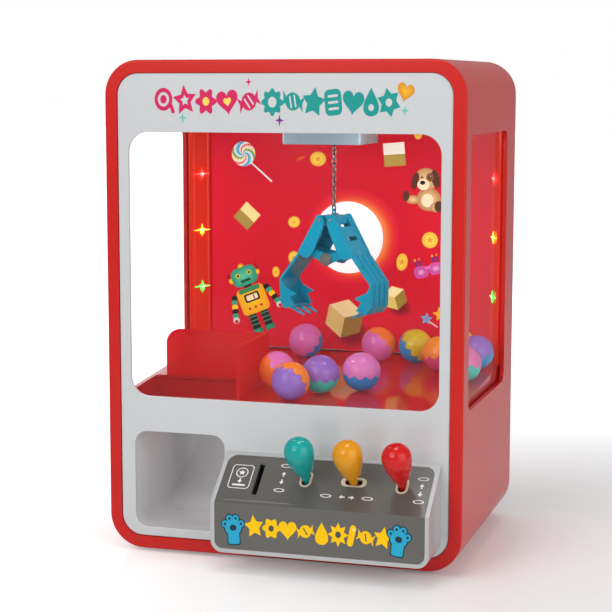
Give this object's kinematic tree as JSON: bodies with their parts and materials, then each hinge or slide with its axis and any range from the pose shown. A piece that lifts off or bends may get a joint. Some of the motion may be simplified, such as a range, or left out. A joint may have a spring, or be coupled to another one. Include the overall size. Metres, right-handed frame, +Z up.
{
  "type": "claw crane machine",
  "caption": "Desktop claw crane toy: red case, windows, lever console, travelling chain-hung claw over a sloping floor of prize capsules.",
  "frame": {"origin": "Middle of the machine's underside box, on the surface that the rubber feet rest on.", "axes": "+Z up, -Y out of the console towards the player, +X to the player's right."},
  "size_m": [0.274, 0.2458, 0.3725],
  "materials": {
    "case_red": "high gloss moulded plastic",
    "fascia_grey": "fine satin moulded plastic",
    "clear_pane": "clear polished acrylic",
    "cover_red": "fine textured moulded plastic",
    "steel": "bright turned steel",
    "foot_rubber": "matt moulded rubber",
    "backdrop_print": "printed coated card",
    "floor_red": "glossy moulded plastic",
    "fence_red": "clear tinted acrylic",
    "bin_grey": "glossy moulded plastic",
    "capsule_upper": "glossy two-tone capsule plastic",
    "capsule_lower": "glossy two-tone capsule plastic",
    "lamp_lens": "frosted coloured lamp plastic",
    "board_green": "circuit board laminate",
    "console_grey": "satin moulded plastic",
    "label_dark": "printed satin label",
    "guide_beige": "satin moulded plastic",
    "knob_teal": "glossy moulded plastic",
    "knob_yellow": "glossy moulded plastic",
    "knob_red": "glossy moulded plastic",
    "inner_plastic": "plain moulded plastic",
    "motor_steel": "drawn steel can",
    "gear_nylon": "white moulded nylon",
    "carriage_blue": "pale satin moulded plastic",
    "claw_cyan": "glossy moulded plastic",
    "chain_steel": "bright plated wire",
    "cell_case": "printed cell jacket",
    "wire_jacket": "soft wire insulation"
  },
  "bodies": {
    "root": {"main_case": "case_red", "front_fascia": "fascia_grey", "front_window": "clear_pane", "side_windows": "clear_pane", "rear_cover": "cover_red", "case_screws": "steel", "rubber_feet": "foot_rubber", "hatch_pins": "steel", "playfield_floor": "floor_red", "chute_fence": "fence_red", "chute_funnel": "floor_red", "prize_bin": "bin_grey", "capsule_upper_halves": "capsule_upper", "capsule_lower_halves": "capsule_lower", "light_columns": "case_red", "star_lenses": "lamp_lens", "led_boards": "board_green", "console_housing": "console_grey", "console_label": "label_dark", "slot_plates": "guide_beige", "coin_chute": "inner_plastic", "coin_tray": "inner_plastic", "lever_frame": "inner_plastic", "lever_pins": "steel", "lever_springs": "steel", "switch_bodies": "inner_plastic", "control_board": "board_green", "wiring_loom": "wire_jacket", "speaker": "inner_plastic", "battery_box": "inner_plastic", "batteries": "cell_case", "side_rails": "gear_nylon"},
    "bridge": {"bridge_beam": "carriage_blue", "bridge_motor": "motor_steel"},
    "cross_shaft": {"drive_shaft": "steel", "shaft_gears": "gear_nylon"},
    "motor_gear": {"motor_pinion": "gear_nylon"},
    "carriage": {"carriage_housing": "carriage_blue", "carriage_motor": "motor_steel", "winch_motor": "motor_steel", "lift_chain": "chain_steel"},
    "carriage_gear": {"carriage_pinion": "gear_nylon"},
    "drum": {"winch_drum": "gear_nylon", "wound_chain": "chain_steel"},
    "claw": {"claw_head": "claw_cyan", "jaw_pins": "steel"},
    "right_jaw": {"jaw_right": "claw_cyan"},
    "left_jaw": {"jaw_left": "claw_cyan"},
    "right_links": {"links_right": "claw_cyan"},
    "left_links": {"links_left": "claw_cyan"},
    "claw_weight": {"weight_pin": "steel"},
    "teal_lever": {"lever_teal": "knob_teal"},
    "yellow_lever": {"lever_yellow": "knob_yellow"},
    "red_lever": {"lever_red": "knob_red"},
    "hatch": {"rear_hatch": "cover_red", "backdrop_card": "backdrop_print"},
    "battery_cover": {"battery_door": "cover_red"},
    "switch_knob": {"power_switch": "inner_plastic"},
    "flap": {"coin_flap": "inner_plastic"}
  },
  "joints": [
    {"name": "bridge_slide", "type": "slide", "parent": "root", "child": "bridge", "axis": [0, 1, 0], "range_m": [-0.066, 0.046]},
    {"name": "cross_shaft_turn", "type": "hinge", "parent": "bridge", "child": "cross_shaft", "pos_m": [0, 0.03089, 0.3376], "axis": [1, 0, 0], "range_deg": [-440, 631]},
    {"name": "motor_gear_turn", "type": "hinge", "parent": "bridge", "child": "motor_gear", "pos_m": [0.114, 0.03089, 0.3557], "axis": [1, 0, 0], "range_deg": [-1262, 880]},
    {"name": "carriage_slide", "type": "slide", "parent": "bridge", "child": "carriage", "axis": [1, 0, 0], "range_m": [-0.092, 0.07]},
    {"name": "carriage_gear_turn", "type": "hinge", "parent": "carriage", "child": "carriage_gear", "pos_m": [0.027, 0.03879, 0.3365], "axis": [0, 0, 1], "range_deg": [-1319, 1004]},
    {"name": "claw_lift", "type": "slide", "parent": "carriage", "child": "claw", "axis": [0, 0, 1], "range_m": [-0.036, 0.036], "deforming": ["lift_chain"]},
    {"name": "drum_turn", "type": "hinge", "parent": "carriage", "child": "drum", "pos_m": [0.0035, 0.03089, 0.3225], "axis": [0, 1, 0], "range_deg": [-296, 296]},
    {"name": "right_jaw_swing", "type": "hinge", "parent": "claw", "child": "right_jaw", "pos_m": [0.01531, 0.02951, 0.2495], "axis": [-0.2756, -0.9613, 0], "range_deg": [-12.3, 0]},
    {"name": "left_jaw_swing", "type": "hinge", "parent": "claw", "child": "left_jaw", "pos_m": [0.00569, 0.03227, 0.2495], "axis": [0.2756, 0.9613, 0], "range_deg": [-12.3, 0]},
    {"name": "right_links_swing", "type": "hinge", "parent": "right_jaw", "child": "right_links", "pos_m": [0.0278, 0.02593, 0.224], "axis": [-0.2756, -0.9613, 0], "range_deg": [0, 44.8]},
    {"name": "left_links_swing", "type": "hinge", "parent": "left_jaw", "child": "left_links", "pos_m": [-0.0068, 0.03585, 0.224], "axis": [0.2756, 0.9613, 0], "range_deg": [0, 44.8]},
    {"name": "weight_drop", "type": "slide", "parent": "claw", "child": "claw_weight", "axis": [0, 0, 1], "range_m": [-0.0111, 0]},
    {"name": "teal_lever_tilt", "type": "hinge", "parent": "root", "child": "teal_lever", "pos_m": [0.025, -0.08446, 0.05832], "axis": [1, 0, 0], "range_deg": [-12, 12], "stiffness_Nm_per_rad": 0.05},
    {"name": "yellow_lever_tilt", "type": "hinge", "parent": "root", "child": "yellow_lever", "pos_m": [0.061, -0.08446, 0.05832], "axis": [0, 0.7918, 0.6108], "range_deg": [-12, 12], "stiffness_Nm_per_rad": 0.05},
    {"name": "red_lever_tilt", "type": "hinge", "parent": "root", "child": "red_lever", "pos_m": [0.097, -0.08446, 0.05832], "axis": [1, 0, 0], "range_deg": [-12, 12], "stiffness_Nm_per_rad": 0.05},
    {"name": "hatch_swing", "type": "hinge", "parent": "root", "child": "hatch", "pos_m": [-0.1253, 0.11909, 0.2265], "axis": [0, 0, 1], "range_deg": [0, 110]},
    {"name": "battery_door_swing", "type": "hinge", "parent": "root", "child": "battery_cover", "pos_m": [0, 0.11799, 0.0279], "axis": [-1, 0, 0], "range_deg": [0, 100]},
    {"name": "power_switch_slide", "type": "slide", "parent": "root", "child": "switch_knob", "axis": [1, 0, 0], "range_m": [0, 0.006]},
    {"name": "coin_flap_swing", "type": "hinge", "parent": "root", "child": "flap", "pos_m": [-0.011, -0.09325, 0.04548], "axis": [-1, 0, 0], "range_deg": [0, 45], "stiffness_Nm_per_rad": 0.002}
  ],
  "couplings": [
    {"joint": "cross_shaft_turn", "follows": "bridge_slide", "rad_per_m": -166.67},
    {"joint": "motor_gear_turn", "follows": "bridge_slide", "rad_per_m": 333.33},
    {"joint": "carriage_gear_turn", "follows": "carriage_slide", "rad_per_m": 250},
    {"joint": "drum_turn", "follows": "claw_lift", "rad_per_m": -142.86},
    {"joint": "left_jaw_swing", "follows": "right_jaw_swing", "ratio": 1},
    {"joint": "right_links_swing", "follows": "right_jaw_swing", "ratio": -3.626},
    {"joint": "left_links_swing", "follows": "right_jaw_swing", "ratio": -3.626},
    {"joint": "weight_drop", "follows": "right_jaw_swing", "m_per_rad": 0.051007}
  ]
}
